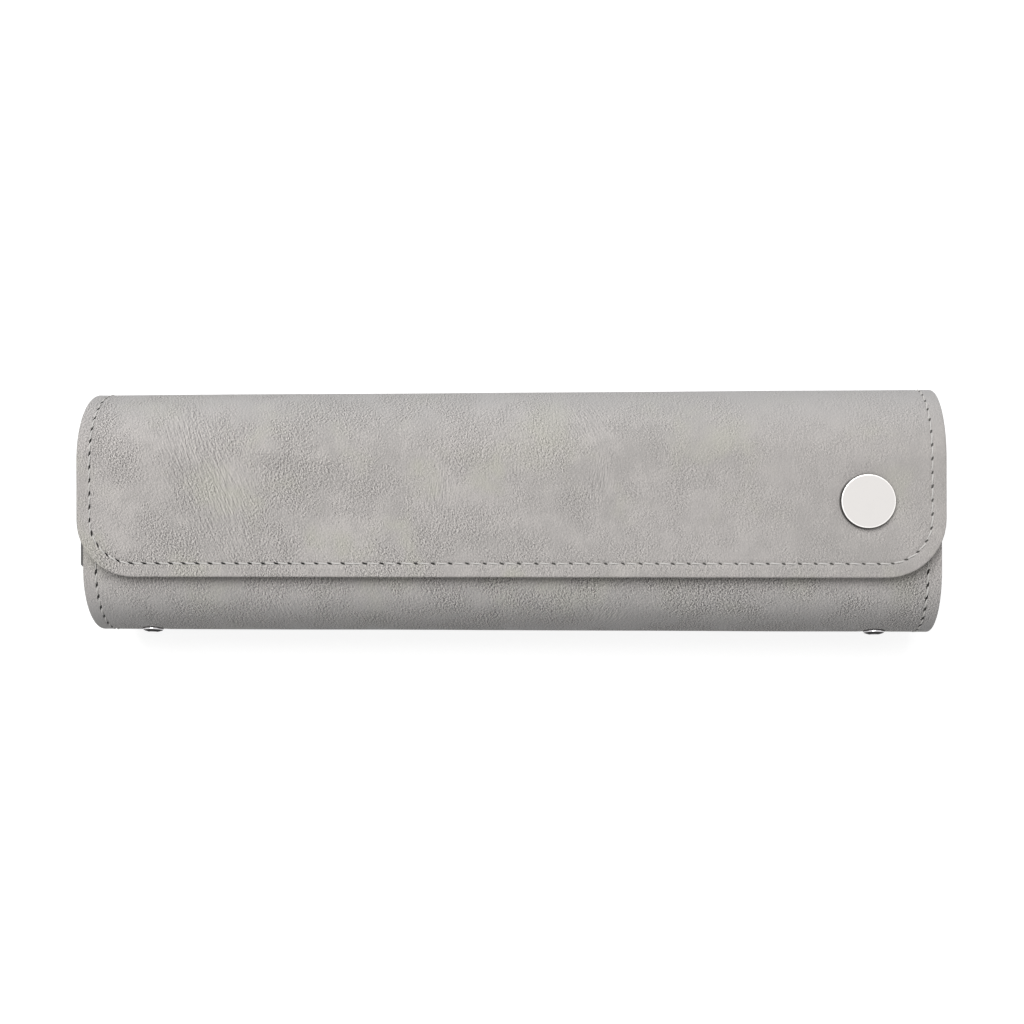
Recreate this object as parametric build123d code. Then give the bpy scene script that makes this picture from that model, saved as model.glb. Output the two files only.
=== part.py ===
"""Electric toothbrush travel case: a soft wrap round a moulded tray, closed by a flap with one snap.

The case lies on its back. X runs along its length towards the snap end, Y from the bottom fold to the
top fold, and Z from the back out through the flap. Z is 0 on the back, and X and Y are 0 at its middle.
"""

from build123d import *
import os
from math import cos, degrees, radians, sin

# Overall sizes of the closed case, in millimetres
case_length = 240.0      # wrap from end to end
case_width = 69.0        # bottom fold to top fold
case_depth = 42.0        # back to the flap's face
panel_gap = 2.5          # between the front panel and the flap, where the snap is
top_straight = 2.0       # flat strip between the two rounds of the top fold
flap_reach = 52.7        # top fold to the flap's free edge
front_margin = 9.2       # snap's centre to the front panel's free edge
flap_corner = 16.0       # corner radius of the flap's free edge
front_corner = 8.0       # corner radius of the front panel's free edge

# Layers of the wrap
leather = 0.9
core = 1.0
lining = 0.5
glue = 0.05              # adhesive between two layers
core_inset = 1.2         # board and foam stop this far inside the leather's edge
lining_inset = 0.4
board_overhang = 0.9     # the front board stands out of the wrap's left end
board_chamfer = 1.2

# The two folds
fold_angle = 36.0        # front fold, in degrees above the middle of the bottom round
fold_gap = 0.3           # cut between the skins of two panels
rim_below_fold = 3.0     # degrees from the front fold down to the tray's rim

# Tray
tray_fit = 0.1           # between the lining and the tray
tray_wall = 1.2
end_wall = 1.6
end_recess = 1.4         # wrap's end to the outer face of the end wall
fold_clearance = 0.4     # between an end wall and the panels that move
rim_drop = 0.6           # top hinge line down to the tray's rim
vent_length = 10.0
vent_height = 2.0
vent_pitch = 14.0
vent_count = 3
vent_above_deck = 6.0

# Insert
insert_wall = 1.2
insert_fit = 0.2         # to the tray's walls
insert_seat = 0.3        # under the brush channel
deck_drop = 1.0          # top hinge line down to the insert's deck
channel_radius = 13.6    # brush handle
neck_radius = 8.6        # brush head and neck
channel_inset = 6.5      # end wall to the end of the brush channel
neck_length = 72.0
neck_overlap = 12.0      # stretch where handle and neck channels run into each other
rivet_room = 1.7         # between tray wall and insert, where the rivets' counter-heads are
divider = 4.2            # between the brush channel and the head wells
well_margin = 5.1        # tray wall's inside to the head wells
well_length = 88.0
notch_radius = 12.0      # finger notch across the middle

# Rivets
rivet_inset = 15.5       # from the wrap's end
rivet_angle = 11.0       # degrees above the middle of the bottom round
rivet_cap_radius = 3.1
rivet_cap_edge = 0.25
rivet_cap_height = 1.0
rivet_stem_radius = 1.4
rivet_back_radius = 3.0
rivet_back_thickness = 0.7
rivet_back_play = 0.3    # between a counter-head and the insert
hole_clearance = 0.1

# Snap
snap_end_inset = 21.0    # from the wrap's right end
snap_edge_inset = 21.0   # from the flap's free edge
snap_cap_radius = 7.35
snap_cap_thickness = 1.05
snap_cap_round = 0.3
snap_stem_radius = 1.5
snap_flange_radius = 2.6
snap_flange_thickness = 0.35
snap_gap = 0.3           # between the closed halves
sheet_metal = 0.25
magnet_cover_radius = 6.6
magnet_lip = 0.6
magnet_play = 0.05
magnet_hole_radius = 3.2
keeper_radius = 6.5
keeper_thickness = 0.7
keeper_boss_radius = 1.9
keeper_boss_height = 0.6
washer_radius = 5.0
washer_thickness = 0.5

# Places that follow from these sizes
half_length = case_length / 2
wrap = leather + core + lining + 2 * glue
core_depth = leather + glue
lining_depth = core_depth + core + glue
body_depth = case_depth - wrap - panel_gap
bottom_radius = body_depth / 2
bottom_y = bottom_radius - case_width / 2
top_radius = (case_depth - top_straight) / 2
top_y = case_width / 2 - top_radius
hinge_z = case_depth / 2
flap_edge_y = case_width / 2 - flap_reach
half_gap_angle = degrees(fold_gap / 2 / bottom_radius)
tray_depth = wrap + tray_fit
tray_inner = tray_depth + tray_wall
end_face_x = half_length - end_recess
inside_x = end_face_x - end_wall
deck_z = hinge_z - deck_drop
channel_z = tray_inner + insert_seat + insert_wall + channel_radius
channel_y = tray_inner - case_width / 2 + rivet_room + insert_wall + channel_radius
well_low_y = channel_y + channel_radius + divider
well_high_y = case_width / 2 - tray_inner - well_margin
well_radius = (well_high_y - well_low_y) / 2
well_y = (well_high_y + well_low_y) / 2
well_z = max(channel_z, tray_inner + insert_seat + insert_wall + well_radius)
channel_end_x = inside_x - channel_inset
snap_x = half_length - snap_end_inset
snap_y = flap_edge_y + snap_edge_inset
front_edge_y = snap_y + front_margin
flap_inner_z = case_depth - wrap
front_inner_z = body_depth - wrap
keeper_top_z = body_depth + keeper_thickness
cover_bottom_z = keeper_top_z + snap_gap


# Sections: lists of edges in the YZ plane, at a depth below the wrap's outer surface

def bottom_round(depth, start, end):
    """Arc of the bottom fold, with angles counted from +Y towards +Z."""
    return CenterArc((bottom_y, bottom_radius), bottom_radius - depth, start, end - start)


def back_flat(depth):
    return Line((bottom_y, depth), (top_y, depth))


def rear_top_round(depth):
    """Rear round of the top fold and the straight strip up to the hinge line."""
    round_z = top_radius
    side_y = case_width / 2 - depth
    return [
        CenterArc((top_y, round_z), top_radius - depth, 270, 90),
        Line((side_y, round_z), (side_y, hinge_z - fold_gap / 2)),
    ]


def front_top_round(depth):
    """Straight strip above the hinge line and the front round of the top fold."""
    round_z = case_depth - top_radius
    side_y = case_width / 2 - depth
    return [
        Line((side_y, hinge_z + fold_gap / 2), (side_y, round_z)),
        CenterArc((top_y, round_z), top_radius - depth, 0, 90),
    ]


def base_route(depth):
    fold = 180 - fold_angle + half_gap_angle
    return [bottom_round(depth, fold, 270), back_flat(depth)] + rear_top_round(depth)


def base_bottom_route(depth):
    return [bottom_round(depth, 180 - fold_angle + half_gap_angle, 270)]


def flap_route(depth):
    face = Line((top_y, case_depth - depth), (flap_edge_y, case_depth - depth))
    return front_top_round(depth) + [face]


def front_curve_route(depth):
    return [bottom_round(depth, 180 - fold_angle - half_gap_angle, 90)]


def front_route(depth):
    face = Line((bottom_y, body_depth - depth), (front_edge_y, body_depth - depth))
    return front_curve_route(depth) + [face]


def tray_route(depth):
    """The tray's wall from its rim under the front fold round the back to its rim at the top fold."""
    rim_z = hinge_z - rim_drop
    side_y = case_width / 2 - depth
    rear_round = CenterArc((top_y, top_radius), top_radius - depth, 270, 90)
    return [
        bottom_round(depth, 180 - fold_angle + rim_below_fold, 270),
        back_flat(depth),
        rear_round,
        Line((side_y, top_radius), (side_y, rim_z)),
    ]


def slab(route, depth, thickness, x_min, x_max):
    """Solid between two depths below the outer surface, from x_min to x_max."""
    rail = route(depth)
    inner_rail = route(depth + thickness)
    ends = [Line(rail[0] @ 0, inner_rail[0] @ 0), Line(rail[-1] @ 1, inner_rail[-1] @ 1)]
    section = Plane.YZ.offset(x_min) * make_face(rail + inner_rail + ends)
    return extrude(section, amount=x_max - x_min)


def layer(route, depth, thickness, inset=0.0):
    return slab(route, depth, thickness, inset - half_length, half_length - inset)


# Plan outlines that trim a panel's free edge

def flap_plan(inset):
    """The flap seen from the front: straight sides and two rounded corners at its free edge."""
    low = flap_edge_y + inset
    height = case_width - low
    outline = Pos(0, low + height / 2) * Rectangle(case_length - 2 * inset, height)
    outline = fillet(outline.vertices().group_by(Axis.Y)[0], flap_corner - inset)
    return extrude(outline, amount=case_depth)


def front_plan(inset):
    """The front panel seen from the front, with rounded corners at its free edge."""
    high = front_edge_y - inset
    height = case_width + high
    outline = Pos(0, high - height / 2) * Rectangle(case_length - 2 * inset, height)
    outline = fillet(outline.vertices().group_by(Axis.Y)[-1], front_corner - inset)
    return extrude(outline, amount=case_depth)


# Holes

def snap_hole():
    return Pos(snap_x, snap_y, case_depth / 2) * Cylinder(snap_stem_radius + hole_clearance, 2 * case_depth)


def rivet_frame(x):
    """A plane on the wrap's outer surface at a rivet, with its Z axis pointing out of the case."""
    out_y = -cos(radians(rivet_angle))
    out_z = sin(radians(rivet_angle))
    seat = (x, bottom_y + bottom_radius * out_y, bottom_radius + bottom_radius * out_z)
    return Plane(origin=seat, x_dir=(1, 0, 0), z_dir=(0, out_y, out_z))


def rivet_frames():
    rivet_x = half_length - rivet_inset
    return [rivet_frame(-rivet_x), rivet_frame(rivet_x)]


def rivet_holes():
    """Holes through the wrap and the tray's wall."""
    hole = Cylinder(rivet_stem_radius + hole_clearance, bottom_radius)
    return Part() + [frame * hole for frame in rivet_frames()]


# Base

def base_leather():
    return layer(base_route, 0, leather) - rivet_holes()


def back_board():
    return layer(lambda depth: [back_flat(depth)], core_depth, core, core_inset)


def bottom_foam():
    return layer(base_bottom_route, core_depth, core, core_inset) - rivet_holes()


def spine_foam():
    return layer(rear_top_round, core_depth, core, core_inset)


def base_lining():
    return layer(base_route, lining_depth, lining, lining_inset) - rivet_holes()


def end_outline():
    """Section of an end wall: the space inside the closed wrap, stepped up where the flap clears the front panel."""
    inset = wrap + fold_clearance
    front_z = body_depth - inset
    flap_z = case_depth - inset
    step_y = front_edge_y + fold_clearance
    side_y = case_width / 2 - inset
    round_radius = top_radius - inset
    return make_face([
        bottom_round(inset, 90, 270),
        back_flat(inset),
        CenterArc((top_y, top_radius), round_radius, 270, 90),
        Line((side_y, top_radius), (side_y, case_depth - top_radius)),
        CenterArc((top_y, case_depth - top_radius), round_radius, 0, 90),
        Line((top_y, flap_z), (step_y, flap_z)),
        Line((step_y, flap_z), (step_y, front_z)),
        Line((step_y, front_z), (bottom_y, front_z)),
    ])


def vent_slots():
    """A row of slots through both end walls, above the insert."""
    slot = SlotOverall(vent_length, vent_height)
    row = [
        Pos((place - (vent_count - 1) / 2) * vent_pitch, deck_z + vent_above_deck) * slot
        for place in range(vent_count)
    ]
    return extrude(Plane.YZ * (Sketch() + row), amount=case_length, both=True)


def tray():
    shell = slab(tray_route, tray_depth, tray_wall, -end_face_x, end_face_x)
    left = extrude(Plane.YZ.offset(-end_face_x) * end_outline(), amount=end_wall)
    right = extrude(Plane.YZ.offset(end_face_x - end_wall) * end_outline(), amount=end_wall)
    return shell + left + right - vent_slots() - rivet_holes()


def pocket(x_min, x_max, y, z, radius):
    """Round-bottomed pocket along X with ball ends, straight above its middle height."""
    straight = x_max - x_min - 2 * radius
    middle = Pos((x_min + x_max) / 2, y, z)
    trough = middle * Rot(0, 90, 0) * Cylinder(radius, straight)
    ball = Sphere(radius)
    balls = [Pos(x_min + radius, y, z) * ball, Pos(x_max - radius, y, z) * ball]
    upper = extrude(middle * SlotOverall(x_max - x_min, 2 * radius), amount=case_depth)
    return trough + balls + upper


def finger_notch(radius):
    """Half-round trough across the divider, from the brush channel into the space between the wells."""
    return Pos(0, (channel_y + well_y) / 2, deck_z) * Rot(90, 0, 0) * Cylinder(radius, well_y - channel_y)


def insert_pockets(wall):
    """The channel, wells and notch, each grown by wall."""
    handle_end = channel_end_x - neck_length + neck_overlap
    handle = pocket(-channel_end_x - wall, handle_end + wall, channel_y, channel_z, channel_radius + wall)
    neck_start = channel_end_x - neck_length
    neck = pocket(neck_start - wall, channel_end_x + wall, channel_y, channel_z, neck_radius + wall)
    wells = [
        pocket(start - wall, start + well_length + wall, well_y, well_z, well_radius + wall)
        for start in (-channel_end_x, channel_end_x - well_length)
    ]
    return handle + neck + wells + finger_notch(notch_radius + wall)


def brush_insert():
    low_y = bottom_y - (bottom_radius - tray_inner) + 2 * insert_fit
    high_y = case_width / 2 - tray_inner - insert_fit
    deck_plan = Pos(0, (low_y + high_y) / 2) * Rectangle(2 * (inside_x - insert_fit), high_y - low_y)
    deck = extrude(Plane.XY.offset(deck_z - insert_wall) * deck_plan, amount=insert_wall)
    below_deck = Pos(0, 0, deck_z - case_depth / 2) * Box(2 * case_length, 2 * case_width, case_depth)
    shell = deck + (insert_pockets(insert_wall) & below_deck) - insert_pockets(0)
    return shell - rivet_backs(rivet_back_play)


def rivet_caps():
    """Two domed heads with their stems, through the wrap and the tray's wall."""
    dome_height = rivet_cap_height - rivet_cap_edge
    dome_radius = (rivet_cap_radius**2 + dome_height**2) / (2 * dome_height)
    head = Pos(0, 0, rivet_cap_height / 2) * Cylinder(rivet_cap_radius, rivet_cap_height)
    head &= Pos(0, 0, rivet_cap_height - dome_radius) * Sphere(dome_radius)
    stem_length = tray_inner + rivet_back_seat()
    stem = Pos(0, 0, -stem_length / 2) * Cylinder(rivet_stem_radius, stem_length)
    return Part() + [frame * (head + stem) for frame in rivet_frames()]


def rivet_back_seat():
    """How far the flat counter-head stands off the middle of the tray's curved wall."""
    wall_radius = bottom_radius - tray_inner
    return wall_radius - (wall_radius**2 - rivet_back_radius**2) ** 0.5


def rivet_backs(clearance=0.0):
    """The two counter-heads, or with a clearance the room they need."""
    depth = tray_inner + rivet_back_seat() + rivet_back_thickness / 2
    back = Cylinder(rivet_back_radius + clearance, rivet_back_thickness + 2 * clearance)
    return Part() + [frame * Pos(0, 0, -depth) * back for frame in rivet_frames()]


# Front panel

def front_leather():
    return (layer(front_route, 0, leather) & front_plan(0)) - snap_hole()


def front_board():
    """Flat board, with chamfered corners, that stands out of the wrap's left end."""
    left = -half_length - board_overhang
    right = half_length - core_inset
    high = front_edge_y - core_inset
    outline = Pos((left + right) / 2, (bottom_y + high) / 2) * Rectangle(right - left, high - bottom_y)
    outline = chamfer(outline.vertices(), board_chamfer)
    top_z = body_depth - core_depth
    return extrude(Plane.XY.offset(top_z - core) * outline, amount=core) - snap_hole()


def front_foam():
    return layer(front_curve_route, core_depth, core, core_inset)


def front_lining():
    return (layer(front_route, lining_depth, lining, lining_inset) & front_plan(lining_inset)) - snap_hole()


def keeper():
    """Fixed half of the snap: plate, boss, and a stem headed over on the washer."""
    plate = disc(keeper_radius, body_depth, keeper_top_z)
    plate = fillet(plate.edges().group_by(Axis.Z)[-1], sheet_metal)
    boss = disc(keeper_boss_radius, keeper_top_z, keeper_top_z + keeper_boss_height)
    washer_low_z = front_inner_z - washer_thickness
    stem = disc(snap_stem_radius, washer_low_z, body_depth)
    head = disc(snap_flange_radius, washer_low_z - snap_flange_thickness, washer_low_z)
    return plate + boss + stem + head


def keeper_washer():
    return disc(washer_radius, front_inner_z - washer_thickness, front_inner_z) - snap_hole()


def disc(radius, low_z, high_z):
    """Cylinder on the snap's axis between two heights."""
    return Pos(snap_x, snap_y, (low_z + high_z) / 2) * Cylinder(radius, high_z - low_z)


# Flap

def flap_leather():
    return (layer(flap_route, 0, leather) & flap_plan(0)) - snap_hole()


def flap_board():
    face = slab(
        lambda depth: [Line((top_y, case_depth - depth), (flap_edge_y, case_depth - depth))],
        core_depth, core, -half_length, half_length,
    )
    return (face & flap_plan(core_inset)) - snap_hole()


def flap_foam():
    return layer(front_top_round, core_depth, core, core_inset)


def flap_lining():
    return (layer(flap_route, lining_depth, lining, lining_inset) & flap_plan(lining_inset)) - snap_hole()


def snap_cap():
    """The disc on the flap, with its stem headed over inside the magnet's cover."""
    cap = disc(snap_cap_radius, case_depth, case_depth + snap_cap_thickness)
    cap = fillet(cap.edges().group_by(Axis.Z)[-1], snap_cap_round)
    cover_base_z = flap_inner_z - sheet_metal
    stem = disc(snap_stem_radius, cover_base_z, case_depth)
    head = disc(snap_flange_radius, cover_base_z - snap_flange_thickness, cover_base_z)
    return cap + stem + head


def magnet_cover():
    """Steel cup under the flap, with a lip that holds the magnet."""
    cup = disc(magnet_cover_radius, cover_bottom_z, flap_inner_z)
    room = disc(magnet_cover_radius - sheet_metal, cover_bottom_z + sheet_metal, flap_inner_z - sheet_metal)
    mouth = disc(magnet_cover_radius - magnet_lip, cover_bottom_z, cover_bottom_z + sheet_metal)
    return cup - room - mouth - snap_hole()


def snap_magnet():
    low_z = cover_bottom_z + sheet_metal
    high_z = flap_inner_z - sheet_metal - magnet_play
    ring = disc(magnet_cover_radius - sheet_metal - magnet_play, low_z, high_z)
    return ring - disc(magnet_hole_radius, low_z, high_z)


nodes = [
    base_leather, back_board, bottom_foam, spine_foam, base_lining,
    tray, brush_insert, rivet_caps, rivet_backs,
    front_leather, front_board, front_foam, front_lining, keeper, keeper_washer,
    flap_leather, flap_board, flap_foam, flap_lining,
    snap_cap, magnet_cover, snap_magnet,
]

os.makedirs("parts", exist_ok=True)
for node in nodes:
    export_step(node(), f"parts/{node.__name__}.step")
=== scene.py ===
"""Electric toothbrush travel case: wrap, foam, lining, stitches, finishes and stage round the solid parts."""

import math

import bpy
from bpy.props import FloatProperty, FloatVectorProperty, PointerProperty
from mathutils import Matrix, Vector, noise


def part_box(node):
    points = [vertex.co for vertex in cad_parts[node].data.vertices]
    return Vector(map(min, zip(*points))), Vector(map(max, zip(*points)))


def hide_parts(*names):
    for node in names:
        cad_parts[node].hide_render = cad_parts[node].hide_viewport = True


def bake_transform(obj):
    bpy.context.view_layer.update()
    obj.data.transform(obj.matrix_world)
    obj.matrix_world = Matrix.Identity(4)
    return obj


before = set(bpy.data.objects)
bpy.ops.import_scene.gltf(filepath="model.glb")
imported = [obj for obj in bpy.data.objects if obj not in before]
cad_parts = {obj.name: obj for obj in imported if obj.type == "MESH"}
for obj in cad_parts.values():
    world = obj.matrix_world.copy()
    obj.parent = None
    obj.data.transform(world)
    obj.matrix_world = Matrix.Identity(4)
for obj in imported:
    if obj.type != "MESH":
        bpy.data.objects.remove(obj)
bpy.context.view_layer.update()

bl_info = {
    "name": "Toothbrush travel case",
    "version": (1, 0, 0),
    "blender": (4, 5, 0),
    "location": "View3D > Sidebar > Travel case",
    "description": "Builds the soft wrap, stitches and finishes of a toothbrush travel case",
    "category": "Object",
}

MM = 0.001

# Fixed values, in mm and radians. A place on the wrap is (x, s): x along the case, s round it from the middle
# of the back. In a layer, the attribute cut has s positive on the flap's half and negative on the other. The
# attribute cut of stitches and holes keeps their points as they are at rest.

# Where the skin has been bent before: middle as in cut, half width and half length, turn, strength
CREASES = (
    (-83.0, 84.0, 19.0, 42.0, -0.40, 0.85),
    (-17.5, 89.0, 6.5, 15.0, 0.10, 0.7),
    (26.0, 86.0, 6.0, 14.0, 0.15, 0.6),
    (22.0, 68.0, 12.0, 13.0, -0.50, 0.5),
    (28.0, -60.0, 9.0, 12.0, 0.50, 0.9),
    (-62.0, -62.0, 11.0, 12.0, -0.30, 0.5),
    (70.0, 20.0, 16.0, 26.0, 0.50, 0.8),
    (-40.0, -20.0, 16.0, 26.0, -0.60, 0.8),
)
CREASE_LINE = (0.54, 3.0)           # width and length of one line of a crease
CREASE_SHIFT = 0.24                 # between a line's light side and its dark side

# Where hardware presses the skin: middle (x, s) and radius
SNAP_PLACE = (99.0, 91.0)
SNAP_RADIUS = 7.35
RIVET_PLACES = ((-104.5, 48.6), (104.5, 48.6))
RIVET_RADIUS = 3.1
DENT_SPREAD = 1.5                   # radius of a dent, as a share of the hardware's
SNAP_SHADOW_WIDTH = 0.55                    # width of the painted shadow round the snap
RIVET_LEAN = math.radians(11.0)     # of the rivets' axes, from the floor

# Radii over which one finish of the hardware gives way to the next, some of them painted light
# Snap: the rim is a painted highlight in a brighter tint and the side painted shade in a dark tint
SNAP_RIM = (6.90, 7.08)
SNAP_SHADED_SIDE = (7.22, 7.30)
# Rivet: the ring is a painted dark reflection and the edge a painted highlight
RIVET_REFLECTION_RING = ((0.95, 1.20), (2.74, 2.84))
RIVET_HIGHLIGHT_EDGE = (2.78, 2.86)

# Waves of the glued skin, along x and along s, and the swelling of the padded front
WAVES = (38.0, 30.0)
WAVE_SEED = 3.7
BELLY_RISE = (50.0, 68.0)           # s over which it grows
BELLY_FALL = (74.0, 88.0)           # s over which it sinks
BELLY_END = (16.0, 4.0)             # distance from the wrap's ends over which it fades

# The edge of a layer
EDGE_BAND = 7.0                     # strip along the edge that has its own rows of points
SEAM_INSETS = (5.8, 5.0, 4.6, 4.3, 4.05, 3.8, 3.55, 3.3, 3.0, 2.6, 2.1, 1.4)
GROOVE_REACH = 0.55                 # from the middle of the stitches to the groove's side
NOSE_WIDTH, NOSE_DEPTH = 0.5, 0.35  # rounded edge on the outer face
TUCK = 0.5                          # rounding of the turned edge on the inner face
LINING_ROUND = 0.2                  # rounding of the lining's edges

# Spacing of a layer's points, and the foam's steps round the fold and along it
LEATHER_STEP = 1.3
LINING_STEP = 2.0
FOAM_STEPS = (72, 60)

# Seams
SEAM_MIDDLE = 40.0                  # |x| up to which the free edge has the middle pitch
SEAM_END = 100.0                    # x up to which it then has the pitch of the snap side
SEAM_STEP = 0.8                     # between the points of the line that stitches follow
THREAD_SHARE = 0.88                 # a stitch's length as a share of the pitch
THREAD_RISE = 0.76                  # of the curve that a stitch follows
THREAD_SLANT = -0.10
HOLE_RISE = 0.08
HOLE_SLANT = -0.28
HOLE_TAPER = (-120.0, 50.0)         # x over which the holes' length changes towards the snap end
HOLE_LEFT = 1.22                    # share of the length at its start
# Each half's holes: length, width, share of the length at the snap end, and the tone of their painted shade
# there
NEEDLE_HOLES = {
    "upper": (1.5, 0.52, 0.75, (0.080, 0.077, 0.072)),
    "lower": (1.7, 0.62, 1.25, (0.012, 0.011, 0.010)),
}

# Stage, in metres and watts: lamps (name, place, size, power) and the camera, its lens and sensor in mm
FLOOR_HALF, FLOOR_LEVEL = 3.0, -0.0003
LAMPS = (("key_lamp", (-0.18, 0.70, 1.25), 1.0, 17.2), ("fill_lamp", (-0.45, -0.50, 1.20), 0.8, 1.1))
CAMERA_PLACE = (0.02493, 0.0, 0.4162)
CAMERA_YAW, CAMERA_ROLL = 0.06, -0.0015
CAMERA_LENS, CAMERA_SENSOR = 47.94, 36.0


def mm(*values):
    """Values in mm as metres."""
    return tuple(value * MM for value in values)


# Sizes and colours that a user would change

def length(name, description, default):
    return FloatProperty(name=name, description=description, default=default * MM, unit="LENGTH",
                         subtype="DISTANCE", precision=5)


def colour(name, description, default):
    return FloatVectorProperty(name=name, description=description, default=default, size=3,
                               min=0.0, max=1.0, subtype="COLOR")


class TravelCaseSizes(bpy.types.PropertyGroup):
    case_length: length("Case length", "Wrap from end to end", 240.0)
    case_width: length("Case width", "Bottom fold to top fold", 69.0)
    case_depth: length("Case depth", "Back to the flap's face", 42.0)
    body_depth: length("Body depth", "Back to the front panel's face", 37.0)
    top_straight: length("Top strip", "Flat strip between the two rounds of the top fold", 2.0)
    flap_reach: length("Flap reach", "Top fold to the flap's free edge", 52.5)
    front_reach: length("Front reach", "Bottom fold to the front panel's free edge", 46.5)
    flap_corner: length("Flap corner", "Corner radius of the flap's free edge", 16.0)
    front_corner: length("Front corner", "Corner radius of the front panel's free edge", 8.0)
    leather: length("Leather", "Thickness of the outer skin", 0.9)
    core: length("Core", "Thickness of the foam under the skin", 1.0)
    lining: length("Lining", "Thickness of the inner cloth", 0.5)
    glue: length("Glue", "Adhesive between two layers", 0.05)
    rim: length("Rim", "Width of the skin's turned edge", 1.15)
    core_inset: length("Core inset", "Edge of the skin to the edge of the foam", 1.2)
    lining_inset: length("Lining inset", "Edge of the skin to the edge of the lining", 0.6)
    stitch_inset: length("Stitch inset", "Edge of the skin to the row of stitches", 3.8)
    stitch_pitch: length("Stitch pitch", "One needle hole to the next at the ends", 3.72)
    stitch_pitch_middle: length("Stitch pitch, middle", "One needle hole to the next in mid edge", 4.7)
    stitch_pitch_snap: length("Stitch pitch, snap side", "One needle hole to the next near the snap", 4.2)
    stitch_groove: length("Stitch groove", "How far the thread pulls the skin in", 0.22)
    thread: length("Thread", "Diameter of the sewing thread", 0.45)
    waviness: length("Waviness", "How far the glued skin swells and sinks", 0.10)
    belly: length("Belly", "How far the padded front stands out below the flap's edge", 1.5)
    snap_dent: length("Dent round the snap", "How far the snap presses the skin in", 0.45)
    rivet_dent: length("Dent round a rivet", "How far a rivet presses the skin in", 0.15)


class TravelCaseColours(bpy.types.PropertyGroup):
    leather: colour("Leather", "Main colour of the skin", (0.455, 0.431, 0.418))
    leather_dark: colour("Leather, dark clouds", "Darker patches of the skin", (0.390, 0.372, 0.359))
    leather_light: colour("Leather, light clouds", "Lighter patches of the skin", (0.505, 0.479, 0.459))
    leather_warm: colour("Leather, warm patches", "Slightly yellowed patches", (0.456, 0.445, 0.392))
    # Painted light: a cooler, lighter tone where the wrap turns round its folds
    painted_fold_light: colour("Leather at the folds", "Cooler tone round the folds", (0.462, 0.457, 0.457))
    thread: colour("Thread", "Sewing thread", (0.64, 0.625, 0.605))
    lining: colour("Lining", "Inner cloth", (0.20, 0.195, 0.19))
    foam: colour("Foam", "Foam under the skin", (0.12, 0.12, 0.12))
    board: colour("Board", "Stiffening boards", (0.09, 0.088, 0.086))
    tray: colour("Tray", "Moulded tray", (0.10, 0.098, 0.095))
    insert: colour("Insert", "Moulded insert", (0.20, 0.197, 0.192))
    snap: colour("Snap", "Plated metal of the snap", (0.80, 0.775, 0.755))
    rivet: colour("Rivets", "Polished rivets", (0.45, 0.44, 0.45))
    magnet: colour("Magnet", "Plated magnet", (0.35, 0.35, 0.36))


# Nodes, shader maths and materials

def plug(tree, socket, value):
    """Sets a socket's value, or links it to a value's node."""
    if isinstance(value, Value):
        value = value.socket
    if isinstance(value, bpy.types.NodeSocket):
        tree.links.new(value, socket)
    else:
        socket.default_value = value


def add_node(tree, kind, settings=None, values=None):
    """A node of a tree, with its settings made first and then its sockets."""
    made = tree.nodes.new(kind)
    for key, value in (settings or {}).items():
        setattr(made, key, value)
    for key, value in (values or {}).items():
        plug(tree, made.inputs[key], value)
    return made


class Value:
    """A node's output, with arithmetic that adds Math nodes."""

    def __init__(self, finish, socket):
        self.finish = finish
        self.socket = socket

    def math(self, operation, *others, clamp=False):
        settings = {"operation": operation, "use_clamp": clamp}
        return self.finish.value("ShaderNodeMath", settings, dict(enumerate((self,) + others)))

    def __add__(self, other):
        return self.math("ADD", other)

    __radd__ = __add__

    def __mul__(self, other):
        return self.math("MULTIPLY", other)

    __rmul__ = __mul__

    def __sub__(self, other):
        return self.math("SUBTRACT", other)

    def __rsub__(self, other):
        return self * -1.0 + other

    def ramp(self, low, high):
        """0 below low, 1 above high, smooth between."""
        return self.finish.value("ShaderNodeMapRange", {"interpolation_type": "SMOOTHSTEP"},
                                 {"Value": self, "From Min": low, "From Max": high})


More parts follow.
